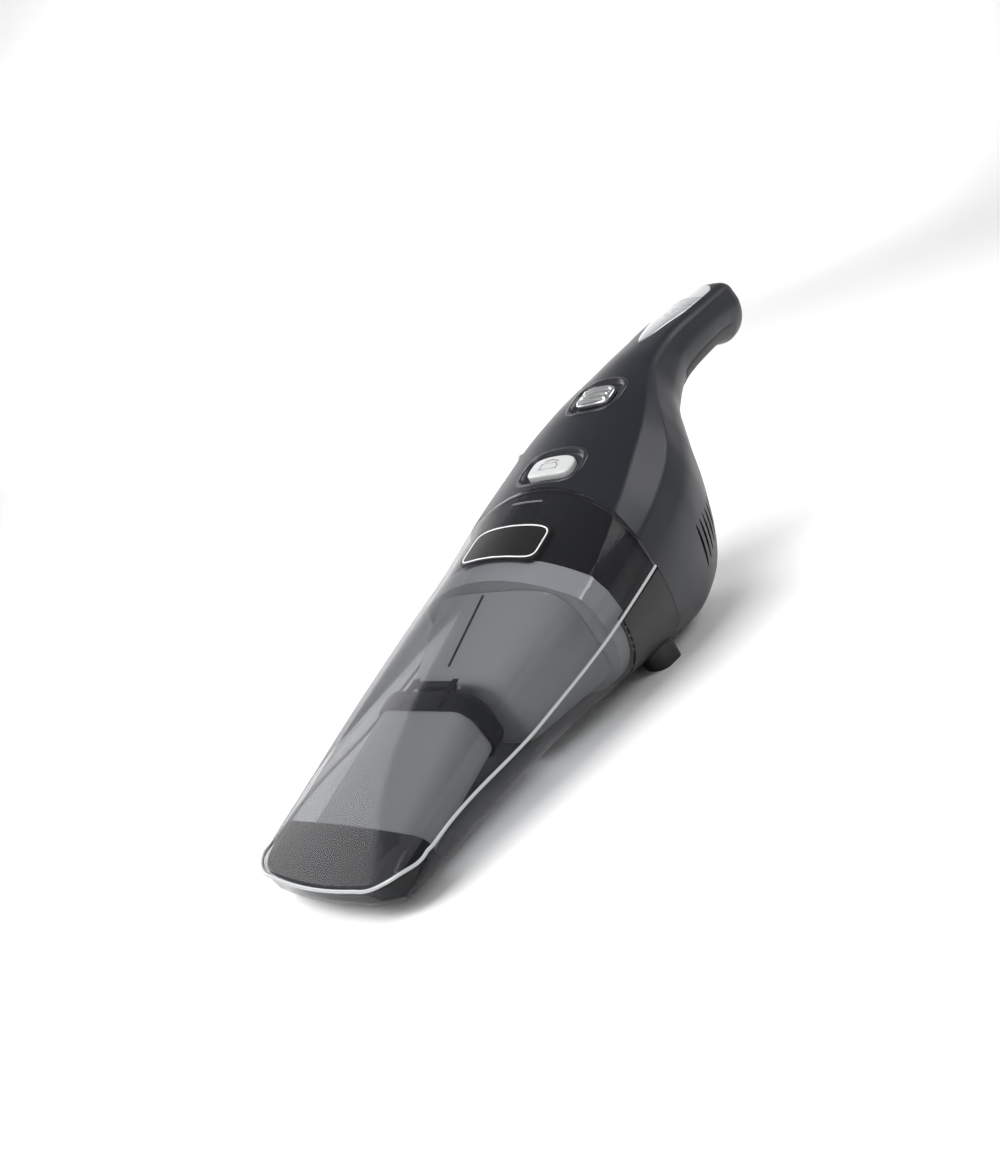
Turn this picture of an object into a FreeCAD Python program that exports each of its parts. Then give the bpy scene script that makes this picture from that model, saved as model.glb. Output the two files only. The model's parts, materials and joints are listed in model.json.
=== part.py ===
"""Cordless handheld vacuum: smoked dust bowl on a two-shell handset with motor, fan, cells and filter.

The shell is described in a housing frame: Y runs from the nozzle tip (0) to the handle's end, Z is up
from the motor's side of the shell to its top, X is to the right.  Every solid is then tilted nose-down
and set on the table, so that the nozzle lip, the two feet and the belly pad stand on Z = 0.
"""
import math
import os

import FreeCAD, Part
from FreeCAD import Vector as V

# ---------------------------------------------------------------- driving dimensions (mm, degrees)
LENGTH = 405.0
BOWL_WALL = 2.0
SHELL_WALL = 2.5
NECK_INSET = 2.9
NECK_WALL = 2.4
GAP = 0.15
SEAM_RADIUS = 105.0
SEAM_CENTRE_Y = 95.0
SPLIT_Y = 152.0
RIM_LEVEL = 24.8
LIP = (38.0, 13.0)
MOUTH_TOP = (0.0, 34.0)
PAD_Y = 240.0
PAD_Z = -46.5
MIDDLE_Y = 183.29
TILT = math.degrees(math.atan2(LIP[1] - PAD_Z, PAD_Y - LIP[0]))
PIVOT = (152.15, -18.6)
MOTOR_Z = 15.0
MOTOR_RADIUS = 18.0
MOTOR_Y = (226.0, 262.0)
SHAFT_RADIUS = 1.6
FAN_RADIUS = 34.0
FAN_BLADES = 9
CELL_RADIUS = 9.1
CELL_LENGTH = 49.5
CELLS = ((231.5, -16.5), (250.5, -14.5))
BUTTON_Y = 215.0
BUTTON_SIZE = (26.0, 13.5)
SLIDER_Y = 267.0
SLIDER_SIZE = (21.0, 15.0)
FLAP_HINGE = (93.5, 46.5)
BOSSES = ((286.0, 40.0), (352.0, 51.0), (240.0, 57.5), (216.0, -30.5))

# Outline of the shell by station along Y: half width, top, inner crease, outer crease, widest height, bottom.
#           y      w     t     xi    zi    xo    zo    r     b
STATIONS = (
    (0.0, 40.5, 41.0, 34.0, 40.4, 38.5, 39.8, 38.0, 24.0),
    (30.0, 43.0, 45.5, 37.0, 43.8, 41.5, 41.4, 38.0, 14.5),
    (90.0, 48.0, 55.0, 42.5, 46.5, 46.5, 38.5, 29.5, 3.0),
    (150.0, 52.5, 61.5, 46.5, 47.5, 51.0, 38.5, 26.0, -17.5),
    (200.0, 54.5, 65.0, 42.5, 55.0, 51.5, 43.0, 27.0, -36.0),
    (225.0, 53.0, 67.0, 38.5, 59.0, 49.0, 46.5, 30.0, -44.5),
    (242.0, 49.5, 68.2, 35.5, 61.8, 45.5, 51.0, 34.0, -45.0),
    (260.0, 42.0, 69.5, 30.5, 64.2, 37.0, 57.5, 39.5, -30.0),
    (275.0, 33.5, 70.0, 25.0, 66.0, 29.0, 62.0, 45.0, -5.0),
    (300.0, 21.5, 69.5, 16.0, 67.3, 18.8, 64.5, 51.0, 26.0),
    (330.0, 17.0, 67.0, 12.5, 65.6, 15.0, 63.0, 54.0, 34.5),
    (365.0, 17.5, 62.5, 12.5, 61.2, 15.5, 58.5, 50.0, 31.5),
    (380.0, 17.6, 60.4, 12.5, 59.0, 15.6, 56.3, 47.0, 28.0),
    (388.0, 17.6, 59.2, 12.5, 57.8, 15.6, 55.0, 45.0, 23.5),
    (410.0, 17.6, 56.0, 12.5, 54.6, 15.6, 51.8, 43.0, 23.0),
)
LOWER_X_POWER = 2.0 / 2.4
LOWER_Z_POWER = 2.0 / 2.2


def smooth(column, y):
    """Monotone cubic through one column of STATIONS at y."""
    ys = [row[0] for row in STATIONS]
    vs = [row[column] for row in STATIONS]
    n = len(ys)
    h = [ys[i + 1] - ys[i] for i in range(n - 1)]
    d = [(vs[i + 1] - vs[i]) / h[i] for i in range(n - 1)]
    m = [d[0]]
    for i in range(1, n - 1):
        if d[i - 1] * d[i] <= 0:
            m.append(0.0)
        else:
            a, b = 2 * h[i] + h[i - 1], h[i] + 2 * h[i - 1]
            m.append((a + b) / (a / d[i - 1] + b / d[i]))
    m.append(d[-1])
    y = min(max(y, ys[0] - 5), ys[-1])
    i = max(k for k in range(n - 1) if ys[k] <= max(y, ys[0]))
    s = (y - ys[i]) / h[i]
    return (
        (2 * s**3 - 3 * s**2 + 1) * vs[i]
        + (s**3 - 2 * s**2 + s) * h[i] * m[i]
        + (3 * s**2 - 2 * s**3) * vs[i + 1]
        + (s**3 - s**2) * h[i] * m[i + 1]
    )


def section(y, inset=0.0):
    """Closed cross-section at y, moved inwards by inset."""
    w, t, xi, zi, xo, zo, r, b = (smooth(c, y) for c in range(1, 9))
    w, t, b = w - inset, t - inset, b + inset
    xi, zi = xi - 0.45 * inset, zi - 0.9 * inset
    xo, zo = xo - 0.85 * inset, zo - 0.5 * inset
    at = lambda x, z: V(x, y, z)
    edges = [Part.Arc(at(-xi, zi), at(0, t), at(xi, zi)).toShape()]
    edges.append(Part.LineSegment(at(xi, zi), at(xo, zo)).toShape())
    edges.append(Part.LineSegment(at(xo, zo), at(w, r)).toShape())

    def lower(sign):
        points = []
        for k in range(7):
            a = math.pi / 2 * k / 6
            x = w * max(math.cos(a), 0.0) ** LOWER_X_POWER if k < 6 else 0.0
            points.append(at(sign * x, r - (r - b) * math.sin(a) ** LOWER_Z_POWER))
        curve = Part.BSplineCurve()
        curve.interpolate(points, InitialTangent=V(0, 0, -1), FinalTangent=V(-sign, 0, 0))
        return curve

    edges.append(lower(1).toShape())
    left = lower(-1)
    left.reverse()
    edges.append(left.toShape())
    edges.append(Part.LineSegment(at(-w, r), at(-xo, zo)).toShape())
    edges.append(Part.LineSegment(at(-xo, zo), at(-xi, zi)).toShape())
    return Part.Wire(edges)


GRID = (
    0.0, 15.0, 30.0, 45.0, 60.0, 75.0, 90.0, 105.0, 120.0, 135.0, 150.0, 165.0, 180.0, 195.0, 207.0, 219.0, 229.0,
    238.0, 246.0, 254.0, 262.0, 270.0, 279.0, 288.0, 300.0, 315.0, 330.0, 347.0, 365.0, 380.0, 395.0,
)


def body(y0, y1, inset=0.0):
    """Solid of the shell's outline between two stations, lofted over one shared grid."""
    inner = [y for y in GRID if y0 + 3.0 < y < y1 - 3.0]
    return Part.makeLoft([section(y, inset) for y in [y0] + inner + [y1]], True, False)


def box(x0, x1, y0, y1, z0, z1):
    return Part.makeBox(x1 - x0, y1 - y0, z1 - z0, V(x0, y0, z0))


def rod(radius, start, end, x=0.0):
    """Cylinder between two (y, z) points at x."""
    a, b = V(x, *start), V(x, *end)
    return Part.makeCylinder(radius, (b - a).Length, a, b - a)


def cross_rod(radius, x0, x1, y, z):
    return Part.makeCylinder(radius, x1 - x0, V(x0, y, z), V(1, 0, 0))


def rounded(cx, cy, lx, ly, r, z0, z1):
    """Upright prism with a rounded-rectangle plan."""
    r = min(r, lx / 2 - 0.01, ly / 2 - 0.01)
    shape = box(cx - lx / 2, cx + lx / 2, cy - ly / 2, cy + ly / 2, z0, z1)
    return shape.makeFillet(r, [e for e in shape.Edges if abs(e.BoundBox.ZLength) > abs(z1 - z0) - 0.01])


def side_prism(points, x0=-70.0, x1=70.0):
    """Prism across X with the given (y, z) outline."""
    wire = Part.makePolygon([V(x0, *p) for p in points + (points[0],)])
    return Part.Face(wire).extrude(V(x1 - x0, 0, 0))


def seam_front(extra=0.0):
    """Everything in front of the arched seam between bowl and handset."""
    drum = Part.makeCylinder(SEAM_RADIUS + extra, 240, V(0, SEAM_CENTRE_Y, -100), V(0, 0, 1))
    return drum.fuse(box(-110, 110, -20, SEAM_CENTRE_Y, -100, 140))


def nose_plan(inset=0.0):
    """Upright prism that rounds the nozzle's front corners."""
    corner = 17.0 - inset
    front = inset
    half = 60.0
    w = 41.0 - inset
    outline = [
        Part.LineSegment(V(-half, 60, -60), V(-w - 1.2, front + corner + 6, -60)).toShape(),
        Part.Arc(
            V(-w - 1.2, front + corner + 6, -60),
            V(-w + corner * 0.24, front + corner * 0.36 + 2, -60),
            V(-w + corner, front + 2.0, -60),
        ).toShape(),
        Part.Arc(V(-w + corner, front + 2.0, -60), V(0, front, -60), V(w - corner, front + 2.0, -60)).toShape(),
        Part.Arc(
            V(w - corner, front + 2.0, -60),
            V(w - corner * 0.24, front + corner * 0.36 + 2, -60),
            V(w + 1.2, front + corner + 6, -60),
        ).toShape(),
        Part.LineSegment(V(w + 1.2, front + corner + 6, -60), V(half, 60, -60)).toShape(),
        Part.LineSegment(V(half, 60, -60), V(half, 230, -60)).toShape(),
        Part.LineSegment(V(half, 230, -60), V(-half, 230, -60)).toShape(),
        Part.LineSegment(V(-half, 230, -60), V(-half, 60, -60)).toShape(),
    ]
    return Part.Face(Part.Wire(outline)).extrude(V(0, 0, 160))


def below_mouth(lift=0.0):
    """Everything under the slanted plane of the nozzle's mouth, raised by lift."""
    (y0, z0), (y1, z1) = MOUTH_TOP, LIP
    slope = (z1 - z0) / (y1 - y0)
    return side_prism(
        ((-20.0, z0 - 20 * slope + lift), (y1, z1 + lift), (y1, -60.0), (-20.0, -60.0))
    )


def rest_plane(lift=0.0):
    """Everything under the plane that the part stands on, raised by lift."""
    slope = math.tan(math.radians(TILT))
    points = [(y, LIP[1] - (y - LIP[0]) * slope + lift) for y in (20.0, 300.0)]
    return side_prism((points[0], points[1], (300.0, -160.0), (20.0, -160.0)))


def half_width(y, z):
    """Half the shell's width at one height of one station."""
    w, t, xi, zi, xo, zo, r, b = (smooth(c, y) for c in range(1, 9))
    if z > r:
        return xo + (w - xo) * (zo - z) / (zo - r)
    return w * (1 - ((r - z) / (r - b)) ** 2.2) ** (1 / 2.4)


def tail_profile():
    """Side view of the handle's rounded end, as a prism across X."""
    a, b, c = V(-70, 397, 66), V(-70, LENGTH, 44), V(-70, 398, 20)
    wire = Part.Wire([
        Part.Arc(a, b, c).toShape(),
        Part.makeLine(c, V(-70, 100, -80)),
        Part.makeLine(V(-70, 100, -80), V(-70, 100, 120)),
        Part.makeLine(V(-70, 100, 120), a),
    ])
    return Part.Face(wire).extrude(V(140, 0, 0))


NODES = {}
OUTER_REAR = body(150.0, 408.0).common(tail_profile())
INNER_REAR = body(150.0, 402.0, SHELL_WALL).cut(rest_plane(SHELL_WALL))


def skin(prism, y0, y1, proud, depth):
    """Part of a prism between two offsets of the shell's outer surface."""
    return prism.common(body(y0, y1, -proud)).cut(body(y0, y1, depth))


# ---------------------------------------------------------------- dust bowl
PLAQUE = rounded(0, 165.0, 46.0, 22.0, 5.0, 40, 80)


def make_bowl():
    outer = body(0.0, 204.0).common(nose_plan())
    inner = body(-1.0, 206.0, BOWL_WALL).common(nose_plan(BOWL_WALL))
    shell = outer.cut(inner).common(seam_front(-GAP))
    shell = shell.cut(box(-70, 70, SPLIT_Y, 230, -80, RIM_LEVEL))
    shell = shell.cut([below_mouth(), rest_plane(), cross_rod(1.3, -12.4, 12.4, *PIVOT)])
    catch = box(-6.0, 6.0, 185.2, 187.2, 59.9, 62.6)
    plaque = PLAQUE.common(box(-60, 60, 100, 200, 40, 80))
    shell = shell.cut(skin(plaque, 140.0, 190.0, 3.0, 0.65)).fuse(catch)
    NODES["dust_bowl"] = shell.removeSplitter()
    NODES["label_plaque"] = skin(rounded(0, 165.0, 45.8, 21.8, 4.9, 40, 80), 140.0, 190.0, 0.4, 0.6)


def duct_section(y, z, half, height, grow=0.0):
    shape = rounded(0, 0, 2 * (half + grow), height + 2 * grow, 7.0 + grow, 0, 1)
    wire = [f for f in shape.Faces if abs(f.CenterOfMass.z) < 1e-6][0].OuterWire
    wire = wire.copy()
    wire.rotate(V(0, 0, 0), V(1, 0, 0), 90)
    wire.translate(V(0, y, z))
    return wire


DUCT = ((26.5, 30.0, 28.0, 16.5), (86.0, 34.5, 25.0, 22.5))


def duct_solid(grow, y_from=None, y_to=None):
    (ya, za, ha, ka), (yb, zb, hb, kb) = DUCT

    def at(y):
        s = (y - ya) / (yb - ya)
        return duct_section(y, za + s * (zb - za), ha + s * (hb - ha), ka + s * (kb - ka), grow)

    return Part.makeLoft([at(ya if y_from is None else y_from), at(yb if y_to is None else y_to)], True, True)


def make_duct():
    NODES["intake_duct"] = duct_solid(1.5).cut(duct_solid(0.0, 20.0, 90.0))
    # black liner that fills the nozzle tip round the air passage
    liner = body(1.0, 27.0, BOWL_WALL + 0.1).common(nose_plan(BOWL_WALL + 0.1))
    passage = duct_solid(0.0, -10.0, 40.0)
    NODES["nozzle_liner"] = liner.cut(below_mouth(1.2)).cut(passage).common(box(-60, 60, 0, 26.4, -20, 80))
    # dark collar round the duct's end, with the hinge lugs of the flap on top
    collar = duct_solid(3.2, 80.0, 87.0).cut(duct_solid(1.55, 78.0, 90.0))
    hy, hz = FLAP_HINGE
    lugs = [box(x0, x1, 80.0, hy + 2.2, hz - 3.5, hz + 2.4) for x0, x1 in ((-13.0, -9.6), (9.6, 13.0))]
    collar = collar.fuse(lugs).cut(cross_rod(1.3, -20, 20, hy, hz)).cut(duct_solid(1.55, 70.0, 96.0))
    NODES["duct_collar"] = collar.removeSplitter()
    NODES["flap_pin"] = cross_rod(1.15, -13.0, 13.0, hy, hz)


def make_flap():
    hy, hz = FLAP_HINGE
    y0 = DUCT[1][0] + 1.4
    plate = duct_solid(2.6, 80.0, 88.0).common(box(-60, 60, 86.0, 87.6, -20, 80))
    plate.translate(V(0, y0 - 86.0, 0))
    arm = box(-9.0, 9.0, y0, hy + 0.5, hz - 3.0, hz - 0.2)
    knuckle = cross_rod(2.3, -9.2, 9.2, hy, hz)
    rib = box(-1.2, 1.2, y0 + 1.0, y0 + 3.0, 24.0, 42.0)
    notches = [box(x0, x1, 80.0, 100.0, hz - 4.0, hz + 6.0) for x0, x1 in ((-13.4, -9.3), (9.3, 13.4))]
    flap = plate.cut(notches).fuse([arm, knuckle, rib]).cut(cross_rod(1.2, -20, 20, hy, hz))
    NODES["duct_flap"] = flap.removeSplitter()


# ---------------------------------------------------------------- filter
FILTER_Y = (144.0, 151.7)


def filter_section(y, half, top, bottom, r=14.0):
    shape = rounded(0, 0, 2 * half, top - bottom, r, 0, 1)
    wire = [f for f in shape.Faces if abs(f.CenterOfMass.z) < 1e-6][0].OuterWire.copy()
    wire.rotate(V(0, 0, 0), V(1, 0, 0), 90)
    wire.translate(V(0, y, (top + bottom) / 2))
    return wire


def cone(grow, y0=99.0, y1=144.0):
    """Tapered filter body between two stations, grown outwards."""

    def at(y):
        s = (y - 99.0) / 45.0
        half, top, bottom = 27.0 + 14.0 * s, 44.0 + 8.5 * s, 4.0 - 9.0 * s
        return filter_section(y, half + grow, top + grow, bottom - grow, 12.0 + 3.0 * s + grow)

    return Part.makeLoft([at(y0), at(y1)], True, True)


def make_filter():
    flange = body(FILTER_Y[0], FILTER_Y[1], BOWL_WALL + 0.4)
    band = body(151.7, 156.8, BOWL_WALL + 0.4).cut(body(151.0, 157.5, 6.0))
    band = band.common(box(-70, 70, 151.7, 156.8, RIM_LEVEL + 1.0, 90))
    opening = filter_section(143.0, 37.6, 48.6, -1.6, 13.0)
    far = filter_section(158.0, 37.6, 48.6, -1.6, 13.0)
    frame = flange.fuse(band).cut(Part.makeLoft([opening, far], True, True))
    NODES["filter_frame"] = frame.removeSplitter()
    NODES["filter_cloth"] = cone(0.0, 99.0, 143.7).cut(cone(-1.4, 100.6, 150.0))
    ring = cone(-1.7, 101.0, 143.7).cut(cone(-3.5, 90.0, 155.0))
    bars = [box(x - 1.0, x + 1.0, 101.0, 143.7, -30, 70) for x in (-24.0, -8.0, 8.0, 24.0)]
    bars += [box(-50, 50, y - 1.0, y + 1.0, -30, 70) for y in (112.0, 127.0)]
    cage = ring.common(bars[0].fuse(bars[1:]))
    base = ring.common(box(-60, 60, 140.7, 143.7, -40, 80))
    tip = ring.common(box(-60, 60, 100.0, 103.4, -40, 80))
    NODES["filter_cage"] = cage.fuse([base, tip]).removeSplitter()
    NODES["filter_seal"] = body(152.0, 156.9, 6.4).cut(body(151.0, 158.0, 8.8))


# ---------------------------------------------------------------- collar and feet
def make_collar():
    neck = body(157.3, 206.0, NECK_INSET).cut(rest_plane(NECK_INSET + 0.2))
    neck = neck.cut(body(157.3, 207.0, NECK_INSET + NECK_WALL).cut(rest_plane(NECK_INSET + NECK_WALL)))
    lip = body(157.3, 159.3, NECK_INSET).cut(body(157.0, 160.0, 9.0))
    hollow = body(SPLIT_Y, 208.0, NECK_INSET + 0.5).cut(rest_plane(NECK_INSET + 0.5))
    lower = body(SPLIT_Y + 0.3, 207.0).cut(hollow)
    lower = lower.common(seam_front(-GAP)).common(box(-70, 70, SPLIT_Y, 230, -80, RIM_LEVEL - 0.3))
    bulkhead = body(201.6, 203.8, NECK_INSET + 0.2).cut(rod(22.0, (190, MOTOR_Z), (215, MOTOR_Z)))
    bulkhead = bulkhead.cut(rest_plane(NECK_INSET + 0.2))
    pivot = cross_rod(1.2, -12.0, 12.0, *PIVOT)
    shape = neck.fuse([lip, lower, bulkhead, pivot]).cut(rest_plane())
    shape = shape.cut([box(-8.0, 8.0, 180.0, 212.0, 50.0, 80.0), box(-19.6, 19.6, 201.9, 212.0, 50.0, 80.0)])
    NODES["front_collar"] = shape.removeSplitter()
    disc = rod(21.8, (201.8, MOTOR_Z), (203.6, MOTOR_Z))
    levels = [MOTOR_Z + 7.0 * k for k in range(-2, 3)]
    bars = [box(-21.0, 21.0, 201.8, 203.6, z - 0.8, z + 0.8) for z in levels]
    ring = disc.cut(rod(19.6, (200, MOTOR_Z), (206, MOTOR_Z)))
    NODES["inlet_grille"] = ring.fuse([b.common(disc) for b in bars]).removeSplitter()
    feet = []
    for x in (-31.0, 31.0):
        foot = box(x - 6.5, x + 6.5, 172.0, 191.0, -60, 4)
        foot = foot.makeFillet(6.0, [e for e in foot.Edges if abs(e.BoundBox.ZLength) > 50])
        foot = foot.cut(rest_plane()).cut(body(160.0, 215.0, -0.1))
        feet.append(foot.cut(box(x - 8, x + 8, 170, 193, -14, 10)))
    NODES["feet"] = Part.makeCompound(feet)


# ---------------------------------------------------------------- handset shells
def vents():
    slots = []
    for k in range(6):
        y = 224.0 + 5.2 * k
        for sign in (-1, 1):
            slot = box(-12, 12, y - 1.2, y + 1.2, -9.0 + 1.2 * k, 17.0 - 0.6 * k)
            slot = slot.makeFillet(1.15, [e for e in slot.Edges if abs(e.BoundBox.XLength) > 20])
            slot.translate(V(sign * 48.0, 0, 0))
            slots.append(slot)
    return slots


def inlay_prism(y0, y1, grow=0.0):
    """Plan of the handle's bright strip: pointed in front, round behind."""
    g = grow
    points = ((0.0, 318.0 - 3 * g), (6.0 + g, 334.0), (10.0 + g, 352.0), (11.2 + g, 372.0), (11.2 + g, 390.0))
    right = [V(x, y, 0) for x, y in points]
    left = [V(-p.x, p.y, 0) for p in reversed(right[1:])]
    curve = Part.BSplineCurve()
    curve.interpolate(right)
    mirror = Part.BSplineCurve()
    mirror.interpolate(left + [right[0]])
    end = Part.Arc(right[-1], V(0, 397.5 + g, 0), left[0])
    face = Part.Face(Part.Wire([curve.toShape(), end.toShape(), mirror.toShape()]))
    return face.extrude(V(0, 0, 100)).common(box(-30, 30, y0, y1, 50, 100))


def grip_prism(grow=0.0):
    g = grow
    return side_prism(((322.0 - g, 45.0 + g), (383.0 + g, 41.0 + g), (383.0 + g, 5.0), (322.0 - g, 5.0)))


def button_hole(grow=0.0):
    return rounded(0, BUTTON_Y, 38.0 + grow, 25.0 + grow, 10.0, 40, 90)


def slider_hole(grow=0.0):
    return rounded(0, SLIDER_Y + 0.5, 32.0 + grow, 29.0 + grow, 11.0, 45, 90)


def make_shells():
    posts = [cross_rod(3.6, -60, 60, y, z).common(OUTER_REAR) for y, z in BOSSES]
    shell = OUTER_REAR.cut(INNER_REAR).fuse([OUTER_REAR.common(box(-70, 70, 399.4, 420, -80, 120))] + posts)
    shell = shell.cut(rest_plane()).cut(seam_front(GAP))
    shell = shell.cut(vents() + [button_hole(0.2), slider_hole(0.2)])
    shell = shell.cut(skin(inlay_prism(300, 410, 0.15), 312.0, 402.0, 3.0, 1.3))
    shell = shell.cut(grip_prism(0.15).cut(body(300.0, 400.0, 1.25)))
    screws = []
    for y, z in BOSSES:
        head = -half_width(y, z) + 7.0
        shell = shell.cut(cross_rod(3.0, -70, head, y, z)).cut(cross_rod(1.6, head - 1, 9.0, y, z))
        screw = cross_rod(2.8, head - 2.2, head, y, z).fuse(cross_rod(1.5, head - 1, 8.5, y, z))
        slot = [box(head - 4, head - 1.2, y - 2.0, y + 2.0, z - 0.4, z + 0.4)]
        slot.append(box(head - 4, head - 1.2, y - 0.4, y + 0.4, z - 2.0, z + 2.0))
        screws.append(screw.cut(slot).removeSplitter())
    NODES["shell_screws"] = Part.makeCompound(screws)
    shell = shell.cut(rod(3.4, (390.0, 38.0), (412.0, 38.0)))
    NODES["housing_left"] = shell.common(box(-80, -0.02, 100, 420, -100, 120))
    NODES["housing_right"] = shell.common(box(0.02, 80, 100, 420, -100, 120))


# ---------------------------------------------------------------- controls and handle trim
def make_controls():
    def bezel(outer, inner, floor, depth, y0, y1):
        ring = skin(outer, y0, y1, 0.3, depth)
        return ring.cut(inner.cut(body(y0, y1, floor)))

    hole = rounded(0, BUTTON_Y, BUTTON_SIZE[0] + 0.7, BUTTON_SIZE[1] + 0.7, 5.8, 40, 90)
    frame = bezel(button_hole(-0.1), rounded(0, BUTTON_Y, 33.0, 20.5, 8.5, 40, 90), 2.0, 5.5, 190.0, 240.0)
    NODES["release_bezel"] = frame.cut(hole)
    cap = skin(rounded(0, BUTTON_Y, BUTTON_SIZE[0], BUTTON_SIZE[1], 5.5, 40, 90), 190.0, 240.0, -0.5, 8.5)
    flange = skin(rounded(0, BUTTON_Y, 30.0, 17.0, 6.0, 40, 90), 190.0, 240.0, -6.2, 8.0)
    arm = box(-6.0, 6.0, 181.8, 218.0, 56.6, 58.8)
    nose = box(-5.0, 5.0, 181.8, 184.8, 56.6, 59.6)
    NODES["release_button"] = cap.fuse([flange, arm, nose]).removeSplitter()
    hole = rounded(0, SLIDER_Y - 2.0, 7.0, 15.0, 3.0, 40, 90)
    well = rounded(0, SLIDER_Y + 0.5, 27.0, 24.6, 9.5, 40, 90)
    frame = bezel(slider_hole(-0.1), well, 1.8, 4.5, 240.0, 292.0)
    NODES["slider_bezel"] = frame.cut(hole)
    pad = skin(rounded(0, SLIDER_Y, SLIDER_SIZE[0], SLIDER_SIZE[1], 5.0, 40, 90), 240.0, 292.0, 0.7, 1.5)
    ridges = []
    for k in (-1, 0, 1):
        strip = box(-8.0, 8.0, SLIDER_Y + 4.0 * k - 0.8, SLIDER_Y + 4.0 * k + 0.8, 50, 90)
        ridges.append(skin(strip, 240.0, 292.0, 1.7, 0.0))
    stem = box(-3.0, 3.0, SLIDER_Y - 3.0, SLIDER_Y + 3.0, 61.2, 69.0)
    foot = box(-6.0, 6.0, SLIDER_Y - 3.0, SLIDER_Y + 3.0, 61.2, 62.8)
    NODES["power_slider"] = pad.fuse(ridges + [stem, foot]).removeSplitter()
    NODES["handle_inlay"] = skin(inlay_prism(300, 372.7), 312.0, 402.0, 0.5, 1.15)
    NODES["charge_lens"] = skin(inlay_prism(373.3, 410), 312.0, 402.0, 0.5, 1.15)
    NODES["grip_pad"] = grip_prism().common(body(300.0, 400.0)).cut(body(300.0, 400.0, 1.1))


# ---------------------------------------------------------------- works
def make_works():
    y0, y1 = MOTOR_Y
    can = rod(MOTOR_RADIUS, (y0 + 2, MOTOR_Z), (y1, MOTOR_Z))
    face = rod(MOTOR_RADIUS - 3, (y0, MOTOR_Z), (y0 + 2, MOTOR_Z))
    bearing = rod(4.5, (y0 - 3, MOTOR_Z), (y0, MOTOR_Z))
    can = can.fuse([face, bearing])
    can = can.fuse([rod(5.0, (y1, MOTOR_Z), (y1 + 3, MOTOR_Z))])
    NODES["motor"] = can.cut(rod(SHAFT_RADIUS + 0.06, (y0 - 5, MOTOR_Z), (y0 + 8, MOTOR_Z))).removeSplitter()
    NODES["motor_shaft"] = rod(SHAFT_RADIUS, (207.0, MOTOR_Z), (y0 + 7.5, MOTOR_Z))
    disc = rod(FAN_RADIUS, (216.4, MOTOR_Z), (217.8, MOTOR_Z))
    hub = rod(8.0, (208.5, MOTOR_Z), (218.5, MOTOR_Z))
    blades = []
    for k in range(FAN_BLADES):
        blade = box(6.0, FAN_RADIUS - 1.0, 209.5, 216.6, -0.7, 0.7)
        blade.rotate(V(6.0, 0, 0), V(0, 1, 0), 24.0)
        blade = blade.common(rod(FAN_RADIUS, (205, 0), (220, 0)))
        blade.rotate(V(0, 0, 0), V(0, 1, 0), 360.0 / FAN_BLADES * k)
        blade.translate(V(0, 0, MOTOR_Z))
        blades.append(blade)
    fan = disc.fuse([hub] + blades).cut(rod(SHAFT_RADIUS + 0.02, (200, MOTOR_Z), (225, MOTOR_Z)))
    NODES["fan"] = fan.removeSplitter()
    ring = rod(38.8, (206.4, MOTOR_Z), (221.8, MOTOR_Z)).cut(rod(36.6, (200, MOTOR_Z), (220.0, MOTOR_Z)))
    ports = []
    for k in range(6):
        port = rod(4.6, (215, 0), (225, 0), 27.0)
        port.rotate(V(0, 0, 0), V(0, 1, 0), 60.0 * k + 30.0)
        port.translate(V(0, 0, MOTOR_Z))
        ports.append(port)
    NODES["fan_housing"] = ring.cut([rod(5.0, (215, MOTOR_Z), (225, MOTOR_Z))] + ports).removeSplitter()
    half = CELL_LENGTH / 2
    cells = []
    for y, z in CELLS:
        cell = cross_rod(CELL_RADIUS, -half, half - 1.5, y, z)
        cells.append(cell.fuse(cross_rod(3.0, half - 2, half, y, z)))
    NODES["battery_cells"] = Part.makeCompound(cells)
    base = box(-27.0, 27.0, 222.5, 244.0, -28.4, -26.2)
    cheek = ((222.5, -26.4), (244.0, -26.4), (257.0, -16.5), (257.0, -8.0), (222.5, -8.0))
    cheeks = [side_prism(cheek, 25.2, 27.0), side_prism(cheek, -27.0, -25.2)]
    NODES["battery_holder"] = base.fuse(cheeks).removeSplitter()
    NODES["control_board"] = box(-12.0, 12.0, 246.0, 290.0, 51.6, 53.2)
    NODES["power_switch"] = box(-4.5, 4.5, 259.0, 273.0, 53.3, 60.8)
    jack = rod(3.1, (392.0, 38.0), (403.4, 38.0)).fuse(box(-5.0, 5.0, 386.0, 392.5, 33.5, 42.5))
    NODES["charging_jack"] = jack.cut(rod(1.6, (394.5, 38.0), (404.0, 38.0))).removeSplitter()


def place(shape):
    """Housing frame to the part's own frame: tilted onto its lip and belly, origin under its middle."""
    shape = shape.copy()
    shape.rotate(V(0, 0, 0), V(1, 0, 0), TILT)
    angle = math.radians(TILT)
    shape.translate(V(0, -MIDDLE_Y, -(LIP[0] * math.sin(angle) + LIP[1] * math.cos(angle))))
    return shape


make_bowl()
make_duct()
make_flap()
make_filter()
make_collar()
make_shells()
make_controls()
make_works()
os.makedirs("parts", exist_ok=True)
for name, shape in NODES.items():
    shape = place(shape)
    print(name, shape.isValid(), len(shape.Solids), round(shape.Volume / 1000, 2))
    shape.exportStep(f"parts/{name}.step")
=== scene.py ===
"""Looks of a cordless handheld vacuum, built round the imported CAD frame."""
import json
import math

import bmesh
import bpy
from bpy.props import FloatProperty, FloatVectorProperty, PointerProperty
from mathutils import Matrix, Vector


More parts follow.
